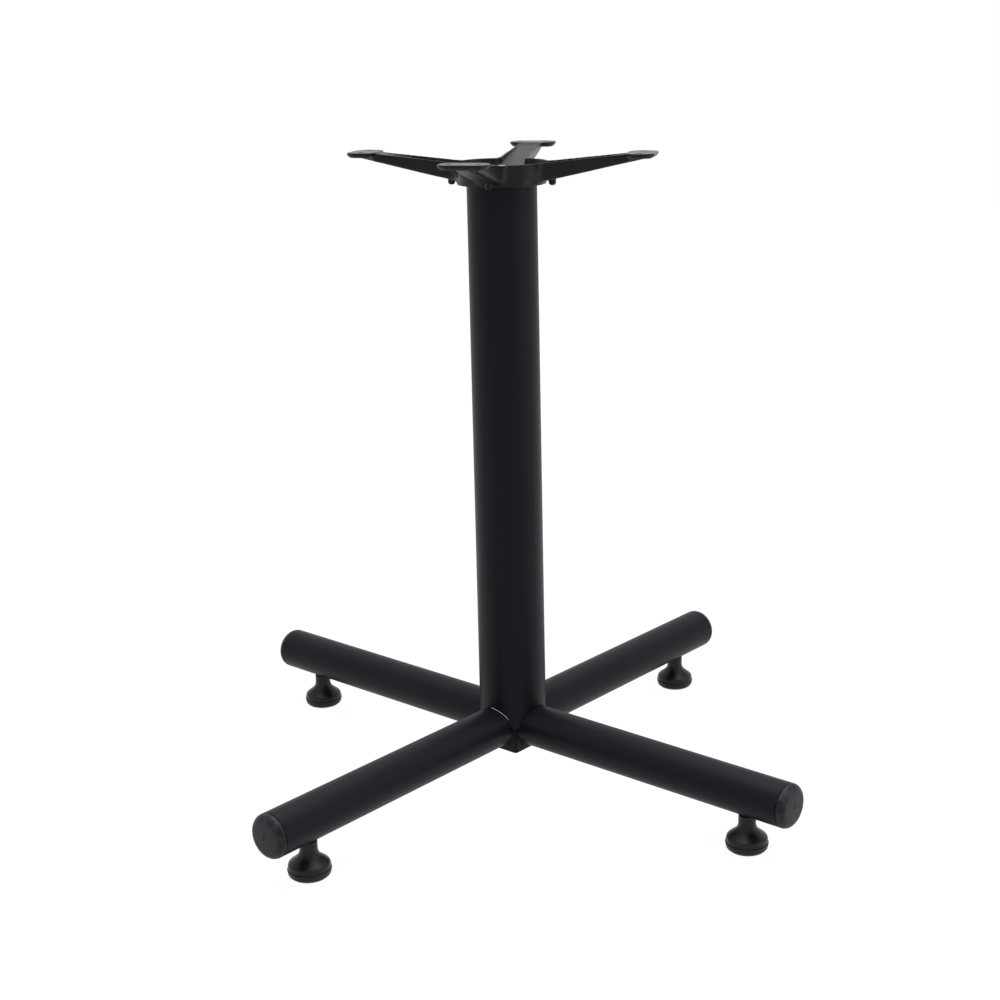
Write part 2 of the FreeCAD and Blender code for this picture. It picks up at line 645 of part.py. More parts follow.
make_column()
make_hub()
for leg in range(CORNERS):
    make_leg(leg)
    make_end_cap(leg)
    make_foot(leg)
make_tie()
make_spider()
check_and_write()
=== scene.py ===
import math

import bmesh
import bpy
from bpy.props import FloatProperty, FloatVectorProperty, IntProperty, PointerProperty
from mathutils import Matrix, Vector, noise


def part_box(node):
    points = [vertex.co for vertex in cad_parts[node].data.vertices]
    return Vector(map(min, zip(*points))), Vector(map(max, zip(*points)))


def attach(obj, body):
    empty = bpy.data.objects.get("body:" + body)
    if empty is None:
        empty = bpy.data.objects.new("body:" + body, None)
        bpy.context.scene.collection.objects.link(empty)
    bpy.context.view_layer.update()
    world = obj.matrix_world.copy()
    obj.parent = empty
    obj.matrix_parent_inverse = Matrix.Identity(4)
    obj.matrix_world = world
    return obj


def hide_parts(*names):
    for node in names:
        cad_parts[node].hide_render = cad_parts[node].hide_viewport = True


bl_info = {
    "name": "Four star table base",
    "version": (1, 0, 0),
    "blender": (4, 5, 0),
    "location": "View3D > Sidebar > Table base",
    "description": "Dresses the packed table base: cast spider, tubes, caps, levelling feet and studio",
    "category": "Object",
}

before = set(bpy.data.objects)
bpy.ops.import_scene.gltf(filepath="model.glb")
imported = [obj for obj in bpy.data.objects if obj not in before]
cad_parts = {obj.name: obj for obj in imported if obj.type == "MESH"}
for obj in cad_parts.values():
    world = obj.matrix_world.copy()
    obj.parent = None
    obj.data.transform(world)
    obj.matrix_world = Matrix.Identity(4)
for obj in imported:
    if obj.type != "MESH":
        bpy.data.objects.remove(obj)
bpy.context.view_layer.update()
MM = 0.001
CORNERS = 4
LEG_TURN = -27.1
FRAME_BODY = "frame"

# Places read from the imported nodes, in metres
ROD_LOW, ROD_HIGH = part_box("tie_rod")
STUD_LOW, STUD_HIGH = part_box("foot_stud_1")
CAP_LOW, CAP_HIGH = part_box("end_cap_1")
LEG_HEIGHT = (CAP_LOW.z + CAP_HIGH.z) / 2

# Tubes and hub
COLUMN_RADIUS = 38.1 * MM
LEG_RADIUS = 23.8 * MM
LEG_WALL = 1.6 * MM
LEG_REACH = 371.0 * MM
SADDLE_GAP = 0.3 * MM
POST_HALF = 25.0 * MM
# Leg whose saddle edge gets the bright steel sliver of a painted glint
GLINT_CORNER = 3

# Feet, rod and fasteners
FOOT_STATION = 323.0 * MM
FOOT_HEIGHT = 39.4 * MM
SEAT_GAP = 0.3 * MM
ROD_RADIUS = 5 * MM
NUT_BORE = 5.05 * MM
NUT_WIDTH = 17 * MM
WASHER_BORE, WASHER_RADIUS, WASHER_EDGE = 5.25 * MM, 13 * MM, 0.35 * MM
ROD_THREAD = 30 * MM
STUD_SOCKET = 16 * MM
THREAD_SIDES = 28
NUT_SIDES = 96

# Casting: rims, pads, flange and pegs, with the bevels under the arms
SPIDER_TOP = 715.0 * MM
RIM_START, RIM_START_DROP = 52.4 * MM, 10.2 * MM
RIM_END, RIM_END_DROP = 137.25 * MM, 1.4 * MM
PAD_START = 141 * MM
FLANGE_DEPTH = 32 * MM
PEG_STATION, PEG_DEPTH, PEG_REACH = 56.0 * MM, 25 * MM, 6 * MM
KEEL_START, KEEL_START_DEPTH, KEEL_START_HALF = 48.5 * MM, 31.0 * MM, 10.8 * MM
KEEL_END, KEEL_END_DEPTH, KEEL_END_HALF = 153.0 * MM, 7.6 * MM, 6.8 * MM
KEEL_BEVEL = math.radians(40)
KEEL_FROM, KEEL_TO = 0.1, 0.9
KEEL_FADE_IN, KEEL_FADE_OUT = 0.1, 0.03
ARM_HALF = 13.0 * MM
ARM_FLARE = math.tan(math.radians(2.25))
CASTING_DRAFT = math.tan(math.radians(8))

# Studio: each softbox's name, place, target, width and height, in metres
SOFTBOXES = (
    ("overhead", (0.1, 0.1, 2.4), (0, 0, 0.2), 2.2, 2.2),
    ("right", (2.2, -0.2, 0.9), (0, 0, 0.45), 1.0, 2.0),
    ("left", (-2.1, -1.1, 0.9), (0, 0, 0.45), 0.7, 1.8),
)
CAMERA_PLACE = (0.451497, -1.800391, 0.857840)
CAMERA_RIGHT = (0.976927, 0.213064, -0.014751)
CAMERA_UP = (-0.035666, 0.230852, 0.972334)
CAMERA_SHIFT = (-0.0526, -0.0756)
SENSOR_WIDTH = 36
FLOOR_HALF = 6
FLOOR_DROP = 0.02 * MM

# Floor: grey of its matt light and of the film that the camera sees, and its brightness in
# mirrors and to the camera, by half the distance from the middle in metres; both brightness
# tables dip in a painted shade ring at the feet's distance, where the feet's shadows then show
FLOOR_GREY, FILM_GREY = 0.3, 0.05
FLOOR_IN_MIRRORS_WITH_SHADE_RING = ((0.0, 0.98), (0.13, 0.96), (0.16, 0.79), (0.19, 0.95), (0.45, 1.0))
FLOOR_TO_CAMERA_WITH_SHADE_RING = ((0.0, 1.0), (0.13, 0.98), (0.16, 0.957), (0.19, 0.98), (0.45, 1.0))


class FinishSettings(bpy.types.PropertyGroup):
    """Colours and textures of the finishes."""

    powder_colour: FloatVectorProperty(
        name="Powder coat", description="Colour of the powder coat on the tubes",
        subtype="COLOR", size=3, min=0, max=1, default=(0.0052, 0.0050, 0.0072))
    powder_roughness: FloatProperty(
        name="Powder coat roughness", description="How dull the powder coat is",
        subtype="FACTOR", min=0, max=1, default=0.46)
    peel_size: FloatProperty(
        name="Orange peel", description="Size of the powder coat's orange peel",
        subtype="DISTANCE", unit="LENGTH", min=0.0005, max=0.01, default=0.0022)
    peel_depth: FloatProperty(
        name="Orange peel depth", description="Depth of the powder coat's orange peel",
        subtype="DISTANCE", unit="LENGTH", min=0, max=0.0002, default=0.000018)
    casting_colour: FloatVectorProperty(
        name="Casting paint", description="Colour of the paint on the casting",
        subtype="COLOR", size=3, min=0, max=1, default=(0.0042, 0.0042, 0.0050))
    casting_roughness: FloatProperty(
        name="Casting roughness", description="How dull the painted casting is",
        subtype="FACTOR", min=0, max=1, default=0.30)
    cap_colour: FloatVectorProperty(
        name="End cap", description="Colour of the moulded end caps",
        subtype="COLOR", size=3, min=0, max=1, default=(0.0105, 0.0104, 0.0125))
    foot_colour: FloatVectorProperty(
        name="Foot", description="Colour of the moulded levelling feet",
        subtype="COLOR", size=3, min=0, max=1, default=(0.0068, 0.0066, 0.0084))
    zinc_colour: FloatVectorProperty(
        name="Zinc", description="Colour of the zinc plate on the fasteners",
        subtype="COLOR", size=3, min=0, max=1, default=(0.60, 0.60, 0.58))


class ShapeSettings(bpy.types.PropertyGroup):
    """Sizes of the details that the scene adds to the model."""

    casting_cell: FloatProperty(
        name="Casting cell", description="Cell of the mesh that the casting is rounded with",
        subtype="DISTANCE", unit="LENGTH", min=0.0005, max=0.003, default=0.0007)
    casting_rounding: IntProperty(
        name="Casting rounding", description="Smoothing passes that round the casting's rims and pads",
        min=0, max=30, default=6)
    casting_fillets: IntProperty(
        name="Casting fillets", description="More passes on its arms' lower edges and its hollows",
        min=0, max=120, default=72)
    casting_kept: FloatProperty(
        name="Casting triangles kept", description="Share of the rounded casting's triangles that is kept",
        subtype="FACTOR", min=0.1, max=1, default=0.5)
    casting_unevenness: FloatProperty(
        name="Casting unevenness", description="Height of the hand-made waves of the casting",
        subtype="DISTANCE", unit="LENGTH", min=0, max=0.001, default=0.00022)
    thread_pitch: FloatProperty(
        name="Thread pitch", description="Pitch of the threads on the rod and the studs",
        subtype="DISTANCE", unit="LENGTH", min=0.0005, max=0.003, default=0.0015)
    thread_depth: FloatProperty(
        name="Thread depth", description="Depth of those threads",
        subtype="DISTANCE", unit="LENGTH", min=0, max=0.002, default=0.0009)
    weld_radius: FloatProperty(
        name="Weld bead", description="Radius of the weld beads between legs and hub post",
        subtype="DISTANCE", unit="LENGTH", min=0.0005, max=0.003, default=0.0015)
    lathe_steps: IntProperty(
        name="Lathe steps", description="Sides of a turned piece",
        min=24, max=256, default=112)


class StudioSettings(bpy.types.PropertyGroup):
    """Camera and lamps."""

    lens: FloatProperty(
        name="Lens", description="Focal length on a 36 mm sensor",
        subtype="DISTANCE_CAMERA", min=20, max=200, default=61.6)
    overhead_level: FloatProperty(
        name="Overhead level", description="Brightness of the softbox overhead, seen in a mirror",
        min=0, max=20, default=4.7)
    right_level: FloatProperty(
        name="Right level", description="Brightness of the softbox on the right",
        min=0, max=20, default=1.6)
    left_level: FloatProperty(
        name="Left level", description="Brightness of the softbox on the left",
        min=0, max=20, default=0.6)
    room_level: FloatProperty(
        name="Room level", description="Brightness of the room as matt surfaces see it",
        min=0, max=2, default=0.35)


def grey(level):
    """A grey for a node's colour socket."""
    return level, level, level, 1


class Value:
    """A shader socket that takes part in sums and products."""

    def __init__(self, finish, socket):
        self.finish = finish
        self.socket = socket

    def _maths(self, operation, first, second):
        return self.finish.node("ShaderNodeMath", {"operation": operation}, {0: first, 1: second})[0]

    def __add__(self, other):
        return self._maths("ADD", self, other)

    def __radd__(self, other):
        return self._maths("ADD", other, self)

    def __sub__(self, other):
        return self._maths("SUBTRACT", self, other)

    def __rsub__(self, other):
        return self._maths("SUBTRACT", other, self)

    def __mul__(self, other):
        return self._maths("MULTIPLY", self, other)

    def __rmul__(self, other):
        return self._maths("MULTIPLY", other, self)


class Made:
    """A node's outputs, each as a Value."""

    def __init__(self, finish, made):
        self.finish = finish
        self.made = made

    def __getitem__(self, key):
        return Value(self.finish, self.made.outputs[key])


class Finish:
    """The node tree of one finish."""

    def __init__(self, tree):
        self.tree = tree
        tree.nodes.clear()

    def node(self, kind, settings=None, inputs=None):
        """Add a node: its settings first, then its sockets' values or links."""
        made = self.tree.nodes.new(kind)
        for name, setting in (settings or {}).items():
            if name == "stops":
                self._set_stops(made.color_ramp, setting)
            else:
                setattr(made, name, setting)
        for name, value in (inputs or {}).items():
            if isinstance(value, Value):
                self.tree.links.new(value.socket, made.inputs[name])
            else:
                made.inputs[name].default_value = value
        return Made(self, made)

    @staticmethod
    def _set_stops(ramp, stops):
        for element, (place, level) in zip(ramp.elements, (stops[0], stops[-1])):
            element.position = place
            element.color = grey(level)
        for place, level in stops[1:-1]:
            ramp.elements.new(place).color = grey(level)

    def place(self):
        """The point on the object, in metres."""
        return self.node("ShaderNodeTexCoord")["Object"]

    def noise(self, size, detail=2.0, roughness=0.5):
        """A cloudy value from 0 to 1 whose blotches have a size in metres."""
        inputs = {"Vector": self.place(), "Scale": 1 / size, "Detail": detail, "Roughness": roughness}
        return self.node("ShaderNodeTexNoise", None, inputs)["Fac"]

    def steps(self, value, stops):
        """A value passed through a ramp of (place, level) stops."""
        return self.node("ShaderNodeValToRGB", {"stops": stops}, {"Fac": value})["Color"]

    def mix(self, factor, low, high):
        """A colour between two colours."""
        inputs = {0: factor, 6: (*low, 1), 7: (*high, 1)}
        return self.node("ShaderNodeMix", {"data_type": "RGBA"}, inputs)[2]

    def bump(self, height, depth, below=None):
        """A bumped normal from a height of 0 to 1, and a depth in metres."""
        inputs = {"Strength": 1.0, "Distance": depth, "Height": height}
        if below is not None:
            inputs["Normal"] = below
        return self.node("ShaderNodeBump", None, inputs)["Normal"]

    def surface(self, inputs):
        """The finish's principled shader, on its output."""
        shader = self.node("ShaderNodeBsdfPrincipled", None, inputs)["BSDF"]
        self.node("ShaderNodeOutputMaterial", None, {"Surface": shader})


def new_finish(name):
    """A material and the finish that fills it."""
    material = bpy.data.materials.new(name)
    material.use_nodes = True
    return material, Finish(material.node_tree)


def shade(colour, level):
    """A colour made lighter or darker."""
    return tuple(channel * level for channel in colour)


def powder_coat():
    """Satin black powder coat: fine orange peel, faint clouding and dust."""
    settings = bpy.context.scene.table_base_finish
    material, finish = new_finish("black_powder_coat")
    peel = finish.noise(settings.peel_size, 1.5, 0.45)
    fine = finish.noise(settings.peel_size / 3, 1.0)
    cloud = finish.noise(0.06, 3.0, 0.6)
    grain = finish.noise(0.0009, 1.0)
    colour = finish.mix(cloud * 0.7 + grain * 0.3, shade(settings.powder_colour, 0.8),
                        shade(settings.powder_colour, 1.25))
    rough = cloud * 0.06 + grain * 0.05 + (settings.powder_roughness - 0.055)
    normal = finish.bump(peel * 0.8 + fine * 0.2, settings.peel_depth)
    finish.surface({"Base Color": colour, "Roughness": rough, "Normal": normal, "IOR": 1.21,
                    "Specular Tint": (0.87, 0.86, 1.0, 1)})
    return material


def cast_paint():
    """Black paint over a sand casting: grainy skin, and duller paint on what faces down."""
    settings = bpy.context.scene.table_base_finish
    material, finish = new_finish("black_cast_iron")
    sand = finish.noise(0.0016, 3.0, 0.6)
    lumps = finish.noise(0.009, 2.0)
    cloud = finish.noise(0.028, 3.0, 0.6)
    colour = finish.mix(cloud * 0.6 + sand * 0.4, shade(settings.casting_colour, 0.6),
                        shade(settings.casting_colour, 1.5))
    facing = finish.node("ShaderNodeNewGeometry")["Normal"]
    height = finish.node("ShaderNodeSeparateXYZ", None, {0: facing})["Z"]
    below = finish.steps(height * -1.0, [(0.15, 0.0), (0.60, 1.0)])
    rough = sand * 0.14 + cloud * 0.10 + below * 0.20 + (settings.casting_roughness - 0.12)
    normal = finish.bump(sand, 0.00004)
    normal = finish.bump(lumps, 0.00014, normal)
    finish.surface({"Base Color": colour, "Roughness": rough, "Normal": normal, "IOR": 1.26,
                    "Specular Tint": (0.91, 0.90, 1.0, 1)})
    return material


def cap_plastic():
    """Moulded black polyethylene: mottled, lightly scuffed."""
    settings = bpy.context.scene.table_base_finish
    material, finish = new_finish("cap_plastic")
    mottle = finish.steps(finish.noise(0.0085, 3.0, 0.62), [(0.42, 0.0), (0.60, 1.0)])
    scuff = finish.noise(0.0016, 2.0, 0.6)
    colour = finish.mix(mottle * 0.8 + scuff * 0.2, shade(settings.cap_colour, 0.1),
                        shade(settings.cap_colour, 3.0))
    rough = mottle * 0.12 + scuff * 0.10 + 0.42
    normal = finish.bump(scuff, 0.00003)
    normal = finish.bump(mottle, 0.00008, normal)
    finish.surface({"Base Color": colour, "Roughness": rough, "Normal": normal, "IOR": 1.30,
                    "Specular Tint": (0.89, 0.88, 1.0, 1)})
    return material


def foot_plastic(name, roughness, grain_depth):
    """Moulded black plastic of the feet, a little smoother on the bell than on its base."""
    settings = bpy.context.scene.table_base_finish
    material, finish = new_finish(name)
    flow = finish.noise(0.012, 2.0, 0.5)
    grain = finish.noise(0.0011, 2.0, 0.5)
    colour = finish.mix(flow * 0.7 + grain * 0.3, shade(settings.foot_colour, 0.8),
                        shade(settings.foot_colour, 1.3))
    rough = flow * 0.07 + grain * 0.04 + (roughness - 0.055)
    normal = finish.bump(grain, grain_depth)
    finish.surface({"Base Color": colour, "Roughness": rough, "Normal": normal, "IOR": 1.31,
                    "Specular Tint": (0.93, 0.92, 1.0, 1)})
    return material


def zinc_plate():
    """Bright zinc on steel: clouded, finely brushed."""
    settings = bpy.context.scene.table_base_finish
    material, finish = new_finish("zinc_steel")
    cloud = finish.noise(0.004, 3.0, 0.6)
    grain = finish.noise(0.0005, 1.0)
    colour = finish.mix(cloud, shade(settings.zinc_colour, 0.85), shade(settings.zinc_colour, 1.1))
    rough = cloud * 0.12 + grain * 0.08 + 0.24
    normal = finish.bump(grain, 0.000006)
    finish.surface({"Base Color": colour, "Roughness": rough, "Normal": normal, "Metallic": 1.0})
    return material


def glint_sliver_steel():
    """Bright steel laid along an edge as a painted glint."""
    material, finish = new_finish("painted_glint_steel")
    glint_speckle = finish.noise(0.0012, 2.0, 0.6)
    colour = finish.mix(glint_speckle, (0.42, 0.42, 0.43), (0.62, 0.62, 0.62))
    rough = glint_speckle * 0.2 + 0.30
    finish.surface({"Base Color": colour, "Roughness": rough, "Metallic": 0.6})
    return material


FINISHES = {
    "black_powder_coat": powder_coat,
    "black_cast_iron": cast_paint,
    "cap_plastic": cap_plastic,
    "foot_plastic": lambda: foot_plastic("foot_plastic", 0.40, 0.000014),
    "foot_base": lambda: foot_plastic("foot_base", 0.42, 0.000016),
    "zinc_steel": zinc_plate,
    "painted_glint_steel": glint_sliver_steel,
}
made_finishes = {}


def finish_named(name):
    """One finish, made the first time that a piece asks for it."""
    if name not in made_finishes:
        made_finishes[name] = FINISHES[name]()
    return made_finishes[name]


def coat_node(name, finish_name):
    """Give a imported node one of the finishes."""
    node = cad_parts[name]
    node.data.materials.clear()
    node.data.materials.append(finish_named(finish_name))


def corner_angle(corner):
    """Direction of a leg, in radians."""
    return math.radians(360 / CORNERS * corner + LEG_TURN)


def leg_place(corner, reach=0.0, height=0.0):
    """Turned to a leg and moved out along it."""
    return Matrix.Rotation(corner_angle(corner), 4, "Z") @ Matrix.Translation((reach, 0, height))


def add_piece(name, mesh, finish_name, slot, body, *nodes, sharp_angle=38.0):
    """Put a mesh in the scene as one piece that rides on a body."""
    piece = bpy.data.objects.new(name, mesh)
    bpy.context.scene.collection.objects.link(piece)
    mesh.materials.append(finish_named(finish_name))
    shape = bmesh.new()
    shape.from_mesh(mesh)
    for face in shape.faces:
        face.smooth = True
    for edge in shape.edges:
        if len(edge.link_faces) == 2:
            edge.smooth = edge.calc_face_angle(0.0) < math.radians(sharp_angle)
    shape.to_mesh(mesh)
    shape.free()
    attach(piece, body)
    if nodes:
        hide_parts(*nodes)
    return piece


def rounded(corners, pieces=5):
    """A half section whose corners, given as (radius, height, rounding), are rounded off."""
    points = []
    for i, (r, z, size) in enumerate(corners):
        if not size:
            points.append((r, z))
            continue
        here = Vector((r, z))
        before = Vector(corners[i - 1][:2]) - here
        after = Vector(corners[(i + 1) % len(corners)][:2]) - here
        half = before.angle(after) / 2
        reach = size / math.tan(half)
        middle = here + (before.normalized() + after.normalized()).normalized() * size / math.sin(half)
        first = (here + before.normalized() * reach - middle).normalized()
        last = (here + after.normalized() * reach - middle).normalized()
        for step in range(pieces + 1):
            points.append(tuple(middle + first.slerp(last, step / pieces) * size))
    return points


def circle(steps):
    """The angles of a ring's corners."""
    return [2 * math.pi * k / steps for k in range(steps)]


def bridge(shape, low, high):
    """Join two rings of corners with faces; either may be a single point."""
    if len(low) == 1 and len(high) == 1:
        return
    steps = max(len(low), len(high))
    for k in range(steps):
        n = (k + 1) % steps
        if len(low) == 1:
            shape.faces.new((low[0], high[n], high[k]))
        elif len(high) == 1:
            shape.faces.new((low[k], low[n], high[0]))
        else:
            shape.faces.new((low[k], low[n], high[n], high[k]))


def mesh_from(name, shape):
    """A shape under construction made into a mesh."""
    mesh = bpy.data.meshes.new(name)
    shape.to_mesh(mesh)
    shape.free()
    return mesh


def lathe(name, section, place=Matrix.Identity(4), closed=False):
    """A piece turned about Z from (radius, height) points; both ends lie on the axis,
    or the section is closed, for a ring."""
    turns = circle(bpy.context.scene.table_base_shape.lathe_steps)
    shape = bmesh.new()
    rings = []
    for r, z in section:
        if r < 1e-7:
            rings.append([shape.verts.new((0, 0, z))])
        else:
            rings.append([shape.verts.new((r * math.cos(t), r * math.sin(t), z)) for t in turns])
    for low, high in zip(rings, rings[1:]):
        bridge(shape, low, high)
    if closed:
        bridge(shape, rings[-1], rings[0])
    bmesh.ops.recalc_face_normals(shape, faces=shape.faces)
    shape.transform(place)
    return mesh_from(name, shape)


def threaded(name, radius, low, high, threads, place=Matrix.Identity(4)):
    """A rod with a helical thread over each (from, to) height, and a lead on both ends."""
    settings = bpy.context.scene.table_base_shape
    pitch, depth, lead = settings.thread_pitch, settings.thread_depth, 1.0 * MM
    plain_step, thread_step = 8 * MM, pitch / 8
    flank, crest = 2.6, 0.15
    rows = []
    z = low
    while z < high - 1e-9:
        rows.append(z)
        cut = any(a <= z < b for a, b in threads)
        z += thread_step if cut else min([a - z for a, b in threads if a > z] + [plain_step, high - z])
    rows.append(high)
    shape = bmesh.new()
    rings = []
    for z in rows:
        ring = []
        cut = any(a - 1e-9 <= z <= b + 1e-9 for a, b in threads)
        for k, turn in enumerate(circle(THREAD_SIDES)):
            phase = (z / pitch + k / THREAD_SIDES) % 1
            groove = min(1.0, max(0.0, abs(phase - 0.5) * flank - crest)) if cut else 1.0
            r = radius - depth * (1 - groove)
            r = min(r, radius - lead + min(z - low, high - z))
            ring.append(shape.verts.new((r * math.cos(turn), r * math.sin(turn), z)))
        rings.append(ring)
    for a, b in zip(rings, rings[1:]):
        bridge(shape, a, b)
    shape.faces.new(list(reversed(rings[0])))
    shape.faces.new(rings[-1])
    shape.transform(place)
    return mesh_from(name, shape)


def hexagon_nut(name, width, bore, low, high):
    """A hexagon nut with chamfered corners and a countersunk bore."""
    sink = 0.6 * MM
    flat = width * 0.475
    slope = math.tan(math.radians(28))
    corner, half_corner = math.pi / 3, math.pi / 6
    levels = (
        (bore, low + sink, False), (bore + sink, low, False), (flat, low, False),
        (None, low, True), (None, high, True),
        (flat, high, False), (bore + sink, high, False), (bore, high - sink, False),
    )
    shape = bmesh.new()
    rings = []
    for radius, z, outer in levels:
        ring = []
        for turn in circle(NUT_SIDES):
            r = radius
            height = z
            if outer:
                off = (turn + half_corner) % corner - half_corner
                r = width / 2 / math.cos(off)
                fall = (r - flat) * slope
                height = z + fall if z == low else z - fall
            ring.append(shape.verts.new((r * math.cos(turn), r * math.sin(turn), height)))
        rings.append(ring)
    for a, b in zip(rings, rings[1:] + rings[:1]):
        bridge(shape, a, b)
    bmesh.ops.recalc_face_normals(shape, faces=shape.faces)
    return mesh_from(name, shape)


def sweep(name, path, radius, sides=10):
    """A closed tube along points, each with its share of the radius and its outward side."""
    shape = bmesh.new()
    rings = []
    for i, (point, share, out) in enumerate(path):
        before, after = path[max(i - 1, 0)][0], path[min(i + 1, len(path) - 1)][0]
        along = (after - before).normalized()
        side = along.cross(out).normalized()
        over = side.cross(along).normalized()
        ring = []
        for turn in circle(sides):
            offset = side * math.cos(turn) + over * math.sin(turn)
            ring.append(shape.verts.new(point + offset * radius * share))
        rings.append(ring)
    for a, b in zip(rings, rings[1:]):
        bridge(shape, a, b)
    shape.faces.new(rings[0])
    shape.faces.new(rings[-1])
    bmesh.ops.recalc_face_normals(shape, faces=shape.faces)
    return mesh_from(name, shape)


class TABLE_BASE_OT_tubes(bpy.types.Operator):
    """Coat the column, the legs and the hub, with the welds and a painted glint on one saddle edge"""

    bl_idname = "table_base.tubes"
    bl_label = "Tubes"
    bl_options = {"REGISTER", "UNDO"}

    def execute(self, context):
        for name in ("column_tube", "hub_post", "hub_plate"):
            coat_node(name, "black_powder_coat")
        for corner in range(CORNERS):
            coat_node(f"leg_tube_{corner + 1}", "black_powder_coat")
            self.add_weld(corner)
        self.add_saddle_glint()
        return {"FINISHED"}

    def add_weld(self, corner):
        """A rippled bead under a leg, where it meets the hub post."""
        radius = bpy.context.scene.table_base_shape.weld_radius
        place = leg_place(corner, POST_HALF, LEG_HEIGHT)
        first_angle, turned, steps = 196, 148, 150
        path = []
        for i in range(steps + 1):
            turn = math.radians(first_angle + turned * i / steps)
            waver = noise.noise(Vector((i * 0.31, corner * 7.0, 0)))
            ripple = 0.88 + 0.12 * math.sin(i * 1.05) + 0.10 * waver
            ends = min(1.0, 0.35 + 0.12 * min(i, steps - i))
            out = Vector((0, math.cos(turn), math.sin(turn)))
            point = Vector((0.35 * radius, 0, 0)) + out * (LEG_RADIUS + 0.1 * radius)
            path.append((place @ point, ripple * ends, place.to_3x3() @ out))
        mesh = sweep(f"weld_bead_{corner + 1}", path, radius)
        add_piece(mesh.name, mesh, "black_powder_coat", "black_powder_coat", FRAME_BODY, sharp_angle=60)

    def add_saddle_glint(self):
        """The bright steel sliver on the column's saddle over one of the front legs: a painted glint."""
        turn = Matrix.Rotation(corner_angle(GLINT_CORNER), 3, "Z")
        saddle = LEG_RADIUS + SADDLE_GAP
        radius, above, sunk = 0.40 * MM, 1.0 * MM, 0.15 * MM
        first_angle, turned, steps = -2.5, 37.5, 48
        path = []
        for i in range(steps + 1):
            angle = math.radians(first_angle + turned * i / steps)
            across = COLUMN_RADIUS * math.sin(angle)
            out = turn @ Vector((math.cos(angle), math.sin(angle), 0))
            rise = math.sqrt(saddle ** 2 - across ** 2)
            point = turn @ Vector((COLUMN_RADIUS * math.cos(angle), across, 0))
            point.z = LEG_HEIGHT + rise + above
            ends = min(1.0, 0.15 + 0.14 * min(i, steps - i))
            waver = 0.92 + 0.16 * noise.noise(Vector((i * 0.4, 0, 3)))
            path.append((point - out * sunk, ends * waver, out))
        mesh = sweep("saddle_glint_sliver", path, radius, 8)
        add_piece(mesh.name, mesh, "painted_glint_steel", "zinc_steel", FRAME_BODY, sharp_angle=60)


